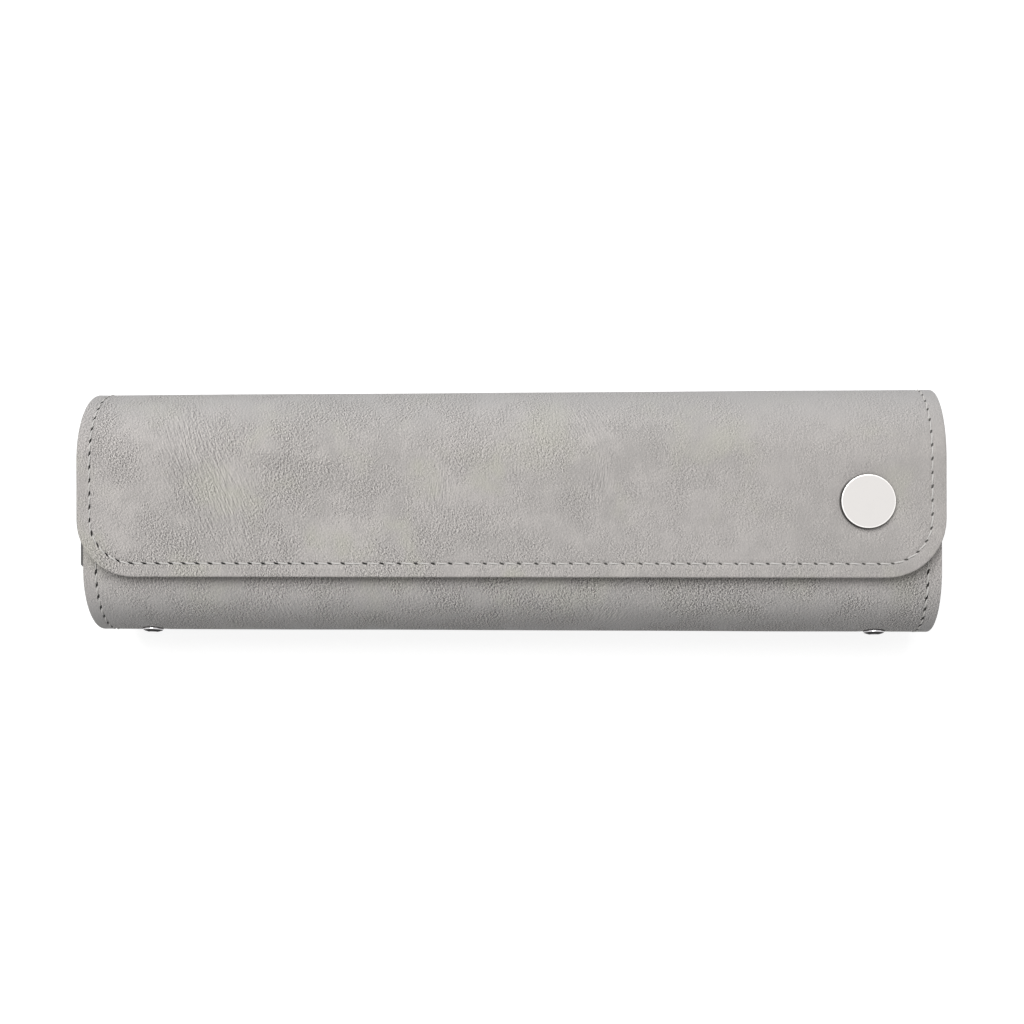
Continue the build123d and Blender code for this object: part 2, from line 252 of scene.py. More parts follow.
class Finish:
    """One material. Every node is added through node()."""

    def __init__(self, name, tint, roughness, metallic=0.0):
        self.material = bpy.data.materials.new(name)
        self.material.use_nodes = True
        self.material.diffuse_color = opaque(tint)
        self.tree = self.material.node_tree
        self.tree.nodes.clear()
        self.shader = self.node("ShaderNodeBsdfPrincipled")
        self.set({"Base Color": opaque(tint), "Roughness": roughness, "Metallic": metallic})
        self.node("ShaderNodeOutputMaterial", {}, {"Surface": self.shader.outputs[0]})

    def node(self, kind, settings=None, values=None):
        return add_node(self.tree, kind, settings, values)

    def value(self, kind, settings, values, output=0):
        return Value(self, self.node(kind, settings, values).outputs[output])

    def set(self, values):
        """Sets or links the shader's sockets."""
        for name, value in values.items():
            plug(self.tree, self.shader.inputs[name], value)

    def place(self, stretch=(1.0, 1.0, 1.0)):
        """The point in Object coordinates, stretched."""
        start = self.node("ShaderNodeTexCoord").outputs["Object"]
        return self.node("ShaderNodeMapping", {}, {"Vector": start, "Scale": stretch}).outputs[0]

    def cut(self, turn=0.0, move=(0.0, 0.0, 0.0)):
        """The point as the piece's own attribute keeps it, turned and moved."""
        start = self.node("ShaderNodeAttribute", {"attribute_name": "cut"}).outputs["Vector"]
        return self.node("ShaderNodeMapping", {}, {"Vector": start, "Location": move,
                                                   "Rotation": (0.0, 0.0, turn)}).outputs[0]

    def split(self, where):
        """The x, y and z of a vector."""
        return tuple(Value(self, part) for part in self.node("ShaderNodeSeparateXYZ", {}, {0: where}).outputs)

    def noise(self, where, size, detail=3.0, roughness=0.5, distortion=0.0):
        """Noise whose features are about size across."""
        return self.value("ShaderNodeTexNoise", {}, {"Vector": where, "Scale": 1.0 / size, "Detail": detail,
                                                     "Roughness": roughness, "Distortion": distortion})

    def cells(self, where, size):
        """0 on the lines between cells about size across."""
        return self.value("ShaderNodeTexVoronoi", {"feature": "DISTANCE_TO_EDGE"},
                          {"Vector": where, "Scale": 1.0 / size})

    def mix(self, factor, *tints):
        """The first tint where the factor is 0 and the second where it is 1."""
        first, second = (tint if isinstance(tint, bpy.types.NodeSocket) else opaque(tint) for tint in tints)
        made = self.node("ShaderNodeMix", {"data_type": "RGBA"}, {0: factor, 6: first, 7: second})
        return made.outputs[2]

    def bump(self, height, distance):
        made = self.node("ShaderNodeBump", {}, {"Height": height, "Distance": distance, "Strength": 1.0})
        self.set({"Normal": made.outputs[0]})


def opaque(tint):
    return (*tint, 1.0)


def shade(tint, factor):
    return tuple(min(1.0, channel * factor) for channel in tint)


def leather_finish(colours):
    """Nubuck-like skin: cloudy dye, wrinkled nap, creases in patches, painted light and shade on the wrinkles
    and creases, painted shade and light in the skin's colour, and a painted shadow round the snap.
    """
    skin = Finish("wrap_leather", colours.leather, 0.82)
    along, around, _ = skin.split(skin.cut())
    worn, furrows = crease_lines(skin)
    wrinkles = embossed(skin, 0.0, 0.70 * MM, mm(0.18, 0.09, 0.0))
    nap = embossed(skin, 0.9, 0.44 * MM, mm(0.14, 0.09, 0.0))
    relief = (wrinkles * 4.8 + nap * 5.0) * grain_strength(skin, along, around) * (1.0 - worn * 0.45)
    crease_light_and_shade = furrows * worn * 2.7
    # Painted light and shade: the colour lightens and darkens with the slope of the wrinkles and creases, as
    # if lit from one side.
    shaded = (relief * -0.38 + crease_light_and_shade).math("MAXIMUM", 0.0, clamp=True)
    lit = (relief * 0.26 - crease_light_and_shade * 0.6).math("MAXIMUM", 0.0, clamp=True)
    tone = dye_and_painted_light(skin, colours, along, around)
    tone = skin.mix(shaded, tone, shade(colours.leather_dark, 0.40))
    tone = skin.mix(lit, tone, shade(colours.leather_light, 1.75))
    # Painted shadow: a dark line on the skin round the snap's cap.
    tone = skin.mix(snap_shadow(along, around), tone, shade(colours.leather_dark, 0.10))
    skin.set({"Base Color": tone, "Roughness": nap * 0.20 + 0.81, "Specular IOR Level": 0.25,
              "Sheen Weight": 0.10, "Sheen Roughness": 0.5})
    skin.bump(relief - furrows * worn * 3.0, 0.03 * MM)
    return skin.material


def on_flap(around):
    """1 on the flap's half of the wrap and 0 on the front panel's."""
    return around.ramp(-MM, MM)


def dye_and_painted_light(skin, colours, along, around):
    """The skin's colour: clouds, mottling and warm patches, painted shade darker to the snap, and painted
    light, a cooler, lighter tone, off the faces.
    """
    clouds = skin.noise(skin.cut(), 44 * MM, 4.0, 0.60, 0.4)
    small_clouds = skin.noise(skin.cut(0.5), 20 * MM, 4.0, 0.68)
    yellowed = skin.noise(skin.cut(1.1), 24 * MM, 3.0, 0.6)
    mottle = skin.noise(skin.cut(1.7), 5.5 * MM, 3.0, 0.75)
    faces = around.math("ABSOLUTE").ramp(52 * MM, 78 * MM)
    tone = colours.leather
    for where, tint in (
        ((1.0 - clouds).ramp(0.40, 0.66), colours.leather_dark),
        (small_clouds.ramp(0.48, 0.74) * 0.85, colours.leather_light),
        ((1.0 - mottle).ramp(0.46, 0.66) * 0.45, shade(colours.leather_dark, 0.93)),
        (mottle.ramp(0.50, 0.68) * 0.45, shade(colours.leather_light, 1.02)),
        (yellowed.ramp(0.50, 0.68) * 0.85, colours.leather_warm),
        # Painted shade: darker along the flap towards the snap end
        (along.ramp(15 * MM, 85 * MM) * on_flap(around) * 0.30, colours.leather_dark),
        # Painted light: a cooler, lighter tone round the folds, off the faces
        ((1.0 - faces) * 0.75, colours.painted_fold_light),
    ):
        tone = skin.mix(where, tone, tint)
    return tone


def grain_strength(skin, along, around):
    """Strength of the grain: in patches, fading along the flap to the snap, halved outside the end seams."""
    patches = skin.noise(skin.cut(2.0), 16 * MM, 4.0, 0.65).ramp(0.38, 0.60)
    flap = (1.0 - along.ramp(-105 * MM, 100 * MM)) * 1.15 + 0.8
    front = along.ramp(-100 * MM, 0.0) * 0.45 + 1.80
    upper = on_flap(around)
    ends = along.math("ABSOLUTE").ramp(113.5 * MM, 118.5 * MM)
    return (patches * 0.75 + 0.38) * (flap * upper + front * (1.0 - upper)) * (1.0 - ends * 0.5)


def embossed(skin, turn, size, shift):
    """A noise's slope along shift: light on one side of each wrinkle and dark on the other, 0 on the flat."""
    here, there = (skin.noise(skin.cut(turn, move), size, 1.0, 0.6, 0.4)
                   for move in ((0.0, 0.0, 0.0), shift))
    return here - there


def crease_place(skin, middle, turn, unit):
    """The point measured from a crease's middle, along its turned axes, in units of (width, length)."""
    return skin.node("ShaderNodeMapping", {"vector_type": "TEXTURE"},
                     {"Vector": skin.cut(), "Location": mm(*middle, 0.0),
                      "Rotation": (0.0, 0.0, turn), "Scale": mm(*unit, 1.0)}).outputs[0]


def crease_lines(skin):
    """(where the skin is creased, the slope of its creases, light on one side and dark on the other)."""
    patches, slopes = [], []
    for x, s, wide, high, turn, strength in CREASES:
        patch = crease_place(skin, (x, s), turn, (wide, high))
        away = skin.value("ShaderNodeVectorMath", {"operation": "LENGTH"}, {0: patch}, "Value")
        here = (1.0 - away.ramp(0.15, 1.0)) * strength
        line, beside = (skin.noise(crease_place(skin, (x + shift, s), turn, CREASE_LINE), 1.0, 1.0, 0.5, 0.4)
                        for shift in (0.0, CREASE_SHIFT))
        patches.append(here)
        slopes.append((line - beside) * here)
    total = sum(patches)
    return total.math("MINIMUM", 1.0), sum(slopes).math("DIVIDE", total.math("MAXIMUM", 0.001))


def snap_shadow(along, around):
    """Painted shadow round the snap's cap: a dark line, deepest towards the flap's free edge and middle."""
    x, s = mm(*SNAP_PLACE)
    right, down = along - x, around - s
    away = (right * right + down * down).math("SQRT")
    side = (down * 0.6 - right * 0.8).math("DIVIDE", away.math("MAXIMUM", 0.0001))
    line = 1.0 - away.ramp(*mm(SNAP_RADIUS, SNAP_RADIUS + SNAP_SHADOW_WIDTH))
    return line * (side.ramp(-0.3, 0.6) * 0.65 + 0.25)


def lining_finish(colours):
    """Short-pile cloth."""
    cloth = Finish("case_lining", colours.lining, 0.95)
    cut = cloth.cut()
    pile = cloth.noise(cut, 0.5 * MM, 2.0, 0.7)
    brushed = cloth.noise(cut, 12 * MM, 3.0, 0.6).ramp(0.35, 0.7)
    tone = cloth.mix(brushed, shade(colours.lining, 0.93), shade(colours.lining, 1.06))
    cloth.set({"Base Color": cloth.mix(pile * 0.35, tone, shade(colours.lining, 0.6)),
               "Sheen Weight": 0.35})
    cloth.bump(pile, 0.15 * MM)
    return cloth.material


def foam_finish(colours):
    """Closed-cell foam."""
    foam = Finish("core_foam", colours.foam, 0.9)
    bubbles = foam.cells(foam.cut(), 0.6 * MM)
    walls = shade(colours.foam, 0.6)
    foam.set({"Base Color": foam.mix(bubbles.ramp(0.0, 0.3), walls, colours.foam)})
    foam.bump(bubbles, 0.1 * MM)
    return foam.material


def moulded_finish(name, tint, roughness, grain, wear=0.15):
    """Moulded plastic: spark-eroded grain and slightly polished patches."""
    plastic = Finish(name, tint, roughness)
    here = plastic.place()
    fine = plastic.noise(here, grain, 2.0, 0.6)
    rubbed = plastic.noise(here, 30 * MM, 3.0, 0.5)
    tone = plastic.mix(rubbed.ramp(0.4, 0.7) * wear, tint, shade(tint, 1.35))
    plastic.set({"Base Color": tone, "Roughness": rubbed * -0.12 + fine * 0.10 + roughness})
    plastic.bump(fine, grain * 0.12)
    return plastic.material


def metal_finish(name, tint, roughness, brushing=(1.0, 1.0, 1.0), scratch=0.03, painted_rings=(), dull=None,
                 painted_reflection=None):
    """Plated metal with fine brushing and faint handling marks. painted_rings lists (mask, tint) laid over it
    as painted highlight and painted shade, dull is (mask, roughness added there) and painted_reflection the
    mask of a place that isn't bare metal, a dark painted reflection."""
    metal = Finish(name, tint, roughness, 1.0)
    lines = metal.noise(metal.place(stretch=brushing), 0.6 * MM, 2.0, 0.6)
    marks = metal.noise(metal.place(), 6 * MM, 3.0, 0.6)
    tone = metal.mix(marks.ramp(0.45, 0.8) * 0.25, tint, shade(tint, 0.95))
    for make_mask, other in painted_rings:
        tone = metal.mix(make_mask(metal), tone, other)
    finish = lines * scratch + marks * scratch + roughness
    if dull:
        make_mask, added = dull
        finish = make_mask(metal) * added + finish
    metal.set({"Base Color": tone, "Roughness": finish})
    if painted_reflection:
        metal.set({"Metallic": 1.0 - painted_reflection(metal), "Specular IOR Level": 0.1})
    metal.bump(lines, 0.004 * MM)
    return metal.material


def beyond(axis, radii):
    """Makes a mask of what lies beyond the radii from an axis, given by (|x|, y, z, lean from the floor)."""
    x, y, z, lean = axis

    def mask(metal):
        here_x, here_y, here_z = metal.split(metal.place())
        across = here_x.math("ABSOLUTE") - x
        up = (here_y - y) * math.sin(lean) + (here_z - z) * math.cos(lean)
        return (across * across + up * up).math("SQRT").ramp(*mm(*radii))
    return mask


def snap_finish(colours):
    """Satin nickel face, polished rim in a brighter tint as a painted highlight, and a side in a dark tint as
    painted shade.
    """
    low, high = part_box("snap_cap")
    axis = ((low[0] + high[0]) / 2, (low[1] + high[1]) / 2, 0.0, math.pi / 2)
    rim, side = (beyond(axis, radii) for radii in (SNAP_RIM, SNAP_SHADED_SIDE))
    # Painted highlight on the rim and painted shade on the side.
    return metal_finish("snap_cap_nickel", colours.snap, 0.13, (1.0, 14.0, 1.0), 0.02,
                        painted_rings=((rim, shade(colours.snap, 1.12)), (side, shade(colours.snap, 0.12))),
                        dull=(rim, 0.28))


def rivet_finish(colours, sizes):
    """Dark nickel dome with a painted reflection, a dark non-metal ring, and a painted highlight, a brighter
    edge.
    """
    radius = sizes.body_depth / 2
    axis = (RIVET_PLACES[1][0] * MM, radius - sizes.case_width / 2, radius, RIVET_LEAN)
    start, end, edge = (beyond(axis, radii) for radii in (*RIVET_REFLECTION_RING, RIVET_HIGHLIGHT_EDGE))

    def ring(metal):
        return start(metal) * (1.0 - end(metal))

    # Painted reflection: the ring is dark and not metal; painted highlight: the edge is a brighter tint.
    return metal_finish("rivet_nickel", colours.rivet, 0.12, scratch=0.01,
                        painted_rings=((edge, shade(colours.rivet, 1.4)), (ring, shade(colours.rivet, 0.03))),
                        dull=(ring, 0.5), painted_reflection=ring)


def thread_finish(colours):
    """Twisted sewing thread."""
    thread = Finish("sewing_thread", colours.thread, 0.7)
    plies = thread.noise(thread.cut(), 0.3 * MM, 2.0, 0.6)
    thread.set({"Base Color": thread.mix(plies * 0.5, colours.thread, shade(colours.thread, 0.72))})
    thread.bump(plies, 0.08 * MM)
    return thread.material


def hole_finish(name, snap_end_shade):
    """Painted shade of a needle hole's inside. snap_end_shade is the tone that the holes reach towards the
    snap end.
    """
    hole = Finish(name, (0.012, 0.011, 0.010), 0.95)
    cut = hole.cut()
    along, _, _ = hole.split(cut)
    tone = hole.mix(hole.noise(cut, 0.6 * MM, 1.0, 0.5), (0.006, 0.006, 0.006), (0.018, 0.017, 0.016))
    hole.set({"Base Color": hole.mix(along.ramp(-60 * MM, 50 * MM), tone, snap_end_shade)})
    return hole.material


# The wrap: two developed bands, each from the middle of the back to a free edge

class Band:
    """Half of the wrap. A point is given by x along the case, s around it from the middle of the back
    and a depth below the outer surface."""

    def __init__(self, sizes, upper):
        self.upper = upper
        self.side = 1.0 if upper else -1.0
        self.half = sizes.case_length / 2
        self.corner = sizes.flap_corner if upper else sizes.front_corner
        self.lift = sizes.top_straight if upper else 0.0
        self.radius = ((sizes.case_depth if upper else sizes.body_depth) - self.lift) / 2
        self.flat = sizes.case_width / 2 - self.radius
        self.face = (sizes.flap_reach if upper else sizes.front_reach) - self.radius
        self.length = self.flat + math.pi * self.radius + self.lift + self.face

    def at(self, x, s, depth):
        """(point, outward normal) of a place on the band."""
        flat, radius, quarter = self.flat, self.radius, self.radius * math.pi / 2
        bent = s - flat                         # past the flat back
        closing = bent - quarter - self.lift    # past the first round and the strip
        if bent <= 0.0:
            y, z, out = s, 0.0, (0.0, -1.0)
        elif bent <= quarter:
            out = (math.sin(bent / radius), -math.cos(bent / radius))
            y, z = flat + radius * out[0], radius + radius * out[1]
        elif closing <= 0.0:
            y, z, out = flat + radius, radius + bent - quarter, (1.0, 0.0)
        elif closing <= quarter:
            out = (math.cos(closing / radius), math.sin(closing / radius))
            y, z = flat + radius * out[0], radius + self.lift + radius * out[1]
        else:
            y, z, out = flat - closing + quarter, 2 * radius + self.lift, (0.0, 1.0)
        normal = Vector((0.0, self.side * out[0], out[1]))
        return Vector((x, self.side * y, z)) - normal * depth, normal

    def border(self, inset, step):
        """The U-shaped edge at an inset, from the middle of the back up one end, along the free edge and back
        down the other, with the number of points in one side and of steps along the free edge."""
        low = self.length - self.corner
        sides = max(2, round(low / step))
        arcs = 12
        across = max(2, round(2 * (self.half - self.corner) / step))
        reach = self.corner - inset
        left = [(-self.half + inset, low * i / sides) for i in range(sides)]
        for i in range(arcs + 1):
            turn = math.pi / 2 * i / arcs
            left.append((-self.half + self.corner - reach * math.cos(turn), low + reach * math.sin(turn)))
        span = self.half - self.corner
        middle = [(-span + 2 * span * j / across, self.length - inset) for j in range(1, across)]
        right = [(-x, s) for x, s in reversed(left)]
        return left + middle + right, len(left), across


def smooth(value, low, high):
    """0 below low, 1 above high, smooth between."""
    part = min(1.0, max(0.0, (value - low) / (high - low)))
    return part * part * (3.0 - 2.0 * part)


def swell(sizes, band, x, s):
    """How far the skin stands in or out at a place."""
    wave_x, wave_s = mm(*WAVES)
    out = sizes.waviness * noise.noise(Vector((x / wave_x, s / wave_s, WAVE_SEED)))
    if band.upper:
        dents = [(SNAP_PLACE, SNAP_RADIUS, sizes.snap_dent)]
    else:
        dents = [(place, RIVET_RADIUS, sizes.rivet_dent) for place in RIVET_PLACES]
        fade, end = mm(*BELLY_END)
        inside = 1.0 - smooth(abs(x), band.half - fade, band.half - end)
        out += sizes.belly * inside * smooth(s, *mm(*BELLY_RISE)) * (1.0 - smooth(s, *mm(*BELLY_FALL)))
    for (place_x, place_s), radius, deep in dents:
        away = math.hypot(x - place_x * MM, s - place_s * MM)
        out -= deep * (1.0 - smooth(away, radius * MM, (radius * DENT_SPREAD) * MM))
    return out


def in_scene(name, mesh):
    """The mesh as an object at the origin."""
    made = bpy.data.objects.new(name, mesh)
    bpy.context.scene.collection.objects.link(made)
    return made


def keep_vectors(mesh, attribute, vectors):
    """Stores a vector for each point of a mesh."""
    kept = mesh.attributes.new(attribute, "FLOAT_VECTOR", "POINT")
    kept.data.foreach_set("vector", [value for vector in vectors for value in vector])


def layer(name, band, verts, cuts, faces, material, sharp):
    """A layer of the wrap whose points keep their place on the flat sheet. faces point outwards on the upper
    band, and edges of more than sharp degrees stay sharp."""
    if not band.upper:
        faces = [tuple(reversed(face)) for face in faces]
    mesh = bpy.data.meshes.new(name)
    mesh.from_pydata(verts, [], faces)
    keep_vectors(mesh, "cut", cuts)
    mesh.materials.append(material)
    mesh.shade_smooth()
    mesh.set_sharp_from_angle(angle=math.radians(sharp))
    mesh.validate()
    return in_scene(name, mesh)


def shell(name, band, profile, step, material, wavy=None):
    """A closed sheet on a band. profile lists (inset, depth) from the outer face round the edge to the inner
    one, and wavy gives the sizes of the outer face's swell."""
    verts, cuts, faces = [], [], []

    def add(x, s, depth, outer):
        moved = swell(wavy, band, x, s) if outer and wavy is not None else 0.0
        verts.append(band.at(x, s, depth - moved)[0])
        cuts.append((x, s * band.side, depth))
        return len(verts) - 1

    loops = []
    for place, (inset, depth) in enumerate(profile):
        edge, rows, across = band.border(inset, step)
        loops.append([add(x, s, depth, place < len(profile) // 2) for x, s in edge])
    size = len(loops[0])
    for near, far in zip(loops, loops[1:]):
        for k in range(size - 1):
            faces.append((near[k], far[k], far[k + 1], near[k + 1]))

    def grid(loop, depth, outer):
        """Rows between the two sides of a loop, the last one being the loop's free edge."""
        table = []
        for i in range(rows - 1):
            first, last = cuts[loop[i]], cuts[loop[size - 1 - i]]
            row = [loop[i]]
            for j in range(1, across):
                x = first[0] + (last[0] - first[0]) * j / across
                row.append(add(x, first[1] * band.side, depth, outer))
            row.append(loop[size - 1 - i])
            table.append(row)
        table.append([loop[rows - 1 + j] for j in range(across + 1)])
        for low, high in zip(table, table[1:]):
            for j in range(across):
                face = (low[j], high[j], high[j + 1], low[j + 1])
                faces.append(face if outer else face[::-1])
        return table[0]

    front = grid(loops[0], profile[0][1], True)
    back = grid(loops[-1], profile[-1][1], False)
    for j in range(across):
        faces.append((front[j], front[j + 1], back[j + 1], back[j]))
    faces.append([loop[0] for loop in reversed(loops)])
    faces.append([loop[-1] for loop in loops])
    return layer(name, band, verts, cuts, faces, material, 50)


def skin_profile(sizes):
    """Leather: flat face, groove under the stitches, rounded nose and an edge turned over the core's side."""
    rim_depth = sizes.leather + sizes.glue + sizes.core
    band, nose_width, nose_depth, tuck, reach = mm(EDGE_BAND, NOSE_WIDTH, NOSE_DEPTH, TUCK, GROOVE_REACH)
    profile = []
    for inset in (band, *mm(*SEAM_INSETS), nose_width):
        groove = math.exp(-((inset - sizes.stitch_inset) / reach) ** 2)
        profile.append((inset, sizes.stitch_groove * groove))
    steps = 6
    for i in range(1, steps + 1):
        turn = math.pi / 2 * i / steps
        profile.append((nose_width * (1 - math.sin(turn)), nose_depth * (1 - math.cos(turn))))
    profile += [(0.0, rim_depth - tuck), (tuck * 0.3, rim_depth - tuck * 0.3), (tuck, rim_depth)]
    profile += [(sizes.rim, rim_depth), (sizes.rim, sizes.leather), (band, sizes.leather)]
    return profile


def layer_profile(inset, depth, thickness, soft):
    """A plain layer with softly rounded edges."""
    band, low, mid = EDGE_BAND * MM, depth + thickness, depth + thickness / 2
    return [(band, depth), (inset + soft, depth), (inset + soft * 0.3, depth + soft * 0.3), (inset, mid),
            (inset + soft * 0.3, low - soft * 0.3), (inset + soft, low), (band, low)]


def foam_layer(name, band, sizes, material):
    """Foam over the rounds only, between the boards: a closed curved slab."""
    depth = sizes.leather + sizes.glue
    first, last = band.flat, band.length - band.face
    steps, across = FOAM_STEPS
    verts, cuts, faces = [], [], []
    for level in (depth, depth + sizes.core):
        for i in range(steps + 1):
            s = first + (last - first) * i / steps
            for j in range(across + 1):
                x = (band.half - sizes.core_inset) * (2 * j / across - 1)
                verts.append(band.at(x, s, level)[0])
                cuts.append((x, s * band.side, level))
    row, sheet = across + 1, (across + 1) * (steps + 1)
    for i in range(steps):
        for j in range(across):
            a = i * row + j
            faces.append((a, a + row, a + row + 1, a + 1))
            faces.append((a + sheet, a + sheet + 1, a + sheet + row + 1, a + sheet + row))
    for j in range(across):
        top = steps * row + j
        faces.append((j, j + 1, j + 1 + sheet, j + sheet))
        faces.append((top + 1, top, top + sheet, top + 1 + sheet))
    for i in range(steps):
        a, b = i * row, i * row + across
        faces.append((a + row, a, a + sheet, a + row + sheet))
        faces.append((b, b + row, b + row + sheet, b + sheet))
    return layer(name, band, verts, cuts, faces, material, 40)


def bend(piece):
    """Bakes a piece's transform into its mesh."""
    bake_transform(piece)


# Stitches

def stitch_tree(name, holes):
    """Geometry nodes that put a stitch, or a needle hole, at each step of a path."""
    tree = bpy.data.node_groups.new(name, "GeometryNodeTree")
    tree.interface.new_socket(name="Path", in_out="INPUT", socket_type="NodeSocketGeometry")
    for socket, kind in (("Length", "Float"), ("Thickness", "Float"), ("Rise", "Float"), ("Slant", "Float"),
                         ("Right", "Float"), ("Seed", "Int"), ("Material", "Material")):
        tree.interface.new_socket(name=socket, in_out="INPUT", socket_type="NodeSocket" + kind)
    tree.interface.new_socket(name="Stitches", in_out="OUTPUT", socket_type="NodeSocketGeometry")

    def first(kind, settings=None, values=None):
        """A node's first output."""
        return add_node(tree, kind, settings, values).outputs[0]

    def maths(operation, one, other):
        return first("ShaderNodeMath", {"operation": operation}, {0: one, 1: other})

    def vector(x=0.0, y=0.0, z=0.0):
        return first("ShaderNodeCombineXYZ", {}, {0: x, 1: y, 2: z})

    def named(attribute, kind):
        return first("GeometryNodeInputNamedAttribute", {"data_type": kind}, {"Name": attribute})

    def stitch():
        """A thread that rises out of the skin and dives back."""
        half = maths("MULTIPLY", given["Length"], 0.5)
        low = maths("MULTIPLY", given["Thickness"], -0.7)
        line = first("GeometryNodeCurveQuadraticBezier", {},
                     {"Resolution": 6, "Start": vector(maths("MULTIPLY", half, -1.0), z=low),
                      "Middle": vector(z=given["Rise"]), "End": vector(half, z=low)})
        ring = first("GeometryNodeCurvePrimitiveCircle", {},
                     {"Resolution": 6, "Radius": maths("MULTIPLY", given["Thickness"], 0.5)})
        return first("GeometryNodeCurveToMesh", {}, {"Curve": line, "Profile Curve": ring, "Fill Caps": True})

    def hole():
        """A dark oval that lies on the skin: painted shade of a needle hole."""
        disc = first("GeometryNodeMeshCircle", {"fill_type": "TRIANGLE_FAN"}, {"Vertices": 10, "Radius": 0.5})
        return first("GeometryNodeTransform", {},
                     {"Geometry": disc, "Scale": vector(given["Length"], given["Thickness"], 1.0),
                      "Translation": vector(z=given["Rise"])})

    def tapered(varied):
        """The holes' size, with their length changing towards the snap end."""
        along = first("ShaderNodeSeparateXYZ", {}, {0: first("GeometryNodeInputPosition")})
        start, end = mm(*HOLE_TAPER)
        share = first("ShaderNodeMapRange", {}, {"Value": along, "From Min": start, "From Max": end,
                                                 "To Min": HOLE_LEFT, "To Max": given["Right"]})
        return vector(maths("MULTIPLY", varied, share), varied, 1.0)

    given = add_node(tree, "NodeGroupInput").outputs
    curve = first("GeometryNodeMeshToCurve", {}, {"Mesh": given["Path"]})
    half_pitch = maths("MULTIPLY", named("pitch", "FLOAT"), 0.5)
    points = first("GeometryNodeResampleCurve", {"mode": "LENGTH"}, {"Curve": curve, "Length": half_pitch})
    index = add_node(tree, "GeometryNodeSplineParameter").outputs["Index"]
    chosen = first("FunctionNodeCompare", {"data_type": "FLOAT", "operation": "EQUAL"},
                   {0: maths("MODULO", index, 2.0), 1: 1.0 if holes else 0.0})
    one = first("GeometryNodeTransform", {},
                {"Geometry": hole() if holes else stitch(), "Rotation": vector(z=given["Slant"])})
    facing = first("FunctionNodeAxesToRotation", {"primary_axis": "X", "secondary_axis": "Z"},
                   {0: first("GeometryNodeInputTangent"), 1: named("out", "FLOAT_VECTOR")})
    varied = add_node(tree, "FunctionNodeRandomValue", {"data_type": "FLOAT"},
                      {2: 0.93, 3: 1.07, "Seed": given["Seed"]}).outputs[1]
    placed = first("GeometryNodeInstanceOnPoints", {},
                   {"Points": points, "Selection": chosen, "Instance": one, "Rotation": facing,
                    "Scale": tapered(varied) if holes else varied})
    real = first("GeometryNodeRealizeInstances", {}, {"Geometry": placed})
    coated = first("GeometryNodeSetMaterial", {}, {"Geometry": real, "Material": given["Material"]})
    add_node(tree, "NodeGroupOutput", {}, {0: coated})
    return tree


def pitch_at(sizes, band, x, s):
    """The stitch pitch at a place on the edge."""
    middle, end = mm(SEAM_MIDDLE, SEAM_END)
    if s < band.length - band.corner or abs(x) > end or x < -middle:
        return sizes.stitch_pitch
    return sizes.stitch_pitch_middle if x < middle else sizes.stitch_pitch_snap


def seam_path(name, band, sizes):
    """A path along a band's stitch line that carries the pitch and the outward side. Where the pitch changes,
    the path ends and another goes on from there."""
    edge, _, _ = band.border(sizes.stitch_inset, SEAM_STEP * MM)
    points, normals, pitches, links = [], [], [], []
    for x, s in edge:
        point, normal = band.at(x, s, sizes.stitch_groove - swell(sizes, band, x, s))
        pitch = pitch_at(sizes, band, x, s)
        if pitches and pitches[-1] != pitch:
            points.append(points[-1])
            normals.append(normals[-1])
            pitches.append(pitch)
        if points:
            links.append((len(points) - 1, len(points)))
        points.append(point)
        normals.append(normal)
        pitches.append(pitch)
    mesh = bpy.data.meshes.new(name + "_path")
    mesh.from_pydata(points, links, [])
    keep_vectors(mesh, "out", normals)
    mesh.attributes.new("pitch", "FLOAT", "POINT").data.foreach_set("value", pitches)
    return in_scene(name + "_path", mesh)


def sew(name, band, sizes, tree, values):
    """Runs a stitch tree along a band's stitch line and returns the plain mesh."""
    path = seam_path(name, band, sizes)
    modifier = path.modifiers.new("stitches", "NODES")
    modifier.node_group = tree
    for socket in tree.interface.items_tree:
        if socket.in_out == "INPUT" and socket.name in values:
            modifier[socket.identifier] = values[socket.name]
    sewn = bpy.data.meshes.new_from_object(path.evaluated_get(bpy.context.evaluated_depsgraph_get()))
    bpy.data.objects.remove(path)
    if not sewn.polygons:
        raise RuntimeError(name + " has no faces")
    keep_vectors(sewn, "cut", [vertex.co for vertex in sewn.vertices])
    sewn.shade_smooth()
    return in_scene(name, sewn)


def bands(sizes):
    return [("upper", Band(sizes, True)), ("lower", Band(sizes, False))]


def sizes_of(context):
    return context.scene.travel_case_sizes


def colours_of(context):
    return context.scene.travel_case_colours


def dress(node, material):
    """Gives a solid part its finish."""
    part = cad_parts[node]
    part.data.materials.clear()
    part.data.materials.append(material)


# Operators

class TRAVELCASE_OT_leather(bpy.types.Operator):
    """Make the leather skin in two halves that meet on the back"""
    bl_idname = "travelcase.leather"
    bl_label = "Leather skin"

    def execute(self, context):
        sizes = sizes_of(context)
        material = leather_finish(colours_of(context))
        for half, band in bands(sizes):
            skin = shell("leather_" + half, band, skin_profile(sizes), LEATHER_STEP * MM, material, sizes)
            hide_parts("base_leather", "flap_leather" if band.upper else "front_leather")
            bend(skin)
        return {"FINISHED"}


class TRAVELCASE_OT_foam(bpy.types.Operator):
    """Make the foam under the skin where the wrap is curved"""
    bl_idname = "travelcase.foam"
    bl_label = "Foam"

    def execute(self, context):
        sizes = sizes_of(context)
        material = foam_finish(colours_of(context))
        for half, band in bands(sizes):
            foam = foam_layer("foam_" + half, band, sizes, material)
            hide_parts(*(("spine_foam", "flap_foam") if band.upper else ("bottom_foam", "front_foam")))
            bend(foam)
        return {"FINISHED"}


